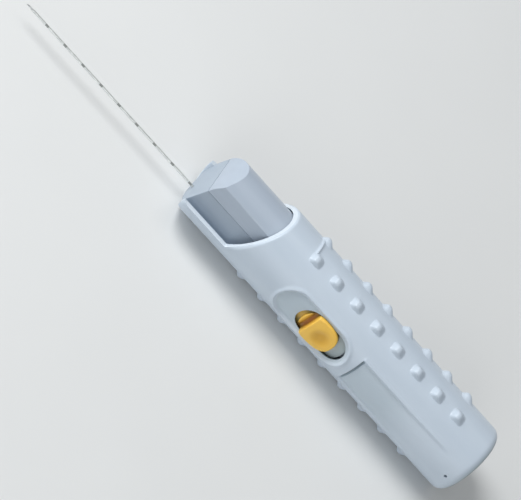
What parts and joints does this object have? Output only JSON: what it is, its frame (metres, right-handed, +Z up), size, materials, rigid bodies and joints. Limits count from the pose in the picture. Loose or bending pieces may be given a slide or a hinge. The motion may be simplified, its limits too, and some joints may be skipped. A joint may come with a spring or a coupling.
{
  "type": "core biopsy instrument",
  "caption": "Hand-held rotary-cocked sampling instrument: ribbed tubular housing, turning core, eccentric needle with a notched stylet, sliding trigger.",
  "frame": {"origin": "centre of the bounding box in plan, at the level of the surface the instrument lies on", "axes": "+X along the instrument from the needle tip to the closed rear end, +Z up, as it rests on two rows of grip bumps"},
  "size_m": [0.2428, 0.032, 0.0345],
  "materials": {
    "housing": "satin moulded plastic, pale bluish grey",
    "core": "satin moulded plastic, mid grey",
    "cover": "satin moulded plastic, light grey",
    "trigger": "amber moulded plastic",
    "inner_plastic": "natural moulded plastic",
    "steel": "ground stainless steel"
  },
  "bodies": {
    "housing": {"outer_housing": "housing", "cam_sleeve": "inner_plastic", "friction_washer": "steel", "trigger_spring_upper": "steel", "trigger_spring_lower": "steel"},
    "core": {"core_body": "core", "core_cover": "cover", "cover_dowel_1": "steel", "cover_dowel_2": "steel", "cover_dowel_3": "steel", "cover_dowel_4": "steel", "core_end_cap": "inner_plastic", "retaining_clip": "steel", "cannula_guide_pin": "steel", "stylet_guide_pin": "steel", "cannula_spring": "steel", "stylet_spring": "steel"},
    "cannula_slider": {"cannula": "steel", "cannula_carriage": "inner_plastic", "cannula_collar": "steel"},
    "stylet_slider": {"stylet": "steel", "stylet_carriage": "inner_plastic", "stylet_collar": "steel"},
    "trigger": {"trigger_button": "trigger"}
  },
  "joints": [
    {"name": "core_twist", "type": "hinge", "parent": "housing", "child": "core", "pos_m": [0, 0, 0.01676], "axis": [-1, 0, 0], "range_deg": [0, 268]},
    {"name": "cannula_slide", "type": "slide", "parent": "core", "child": "cannula_slider", "axis": [1, 0, 0], "range_m": [0, 0.022], "stiffness_N_per_m": 100, "springref_m": -0.004, "deforming": ["cannula_spring"]},
    {"name": "stylet_slide", "type": "slide", "parent": "core", "child": "stylet_slider", "axis": [1, 0, 0], "range_m": [0, 0.022], "stiffness_N_per_m": 100, "springref_m": -0.004, "deforming": ["stylet_spring"]},
    {"name": "trigger_slide", "type": "slide", "parent": "housing", "child": "trigger", "axis": [1, 0, 0], "range_m": [0, 0.004], "stiffness_N_per_m": 150, "springref_m": -0.002, "deforming": ["trigger_spring_upper", "trigger_spring_lower"]}
  ]
}
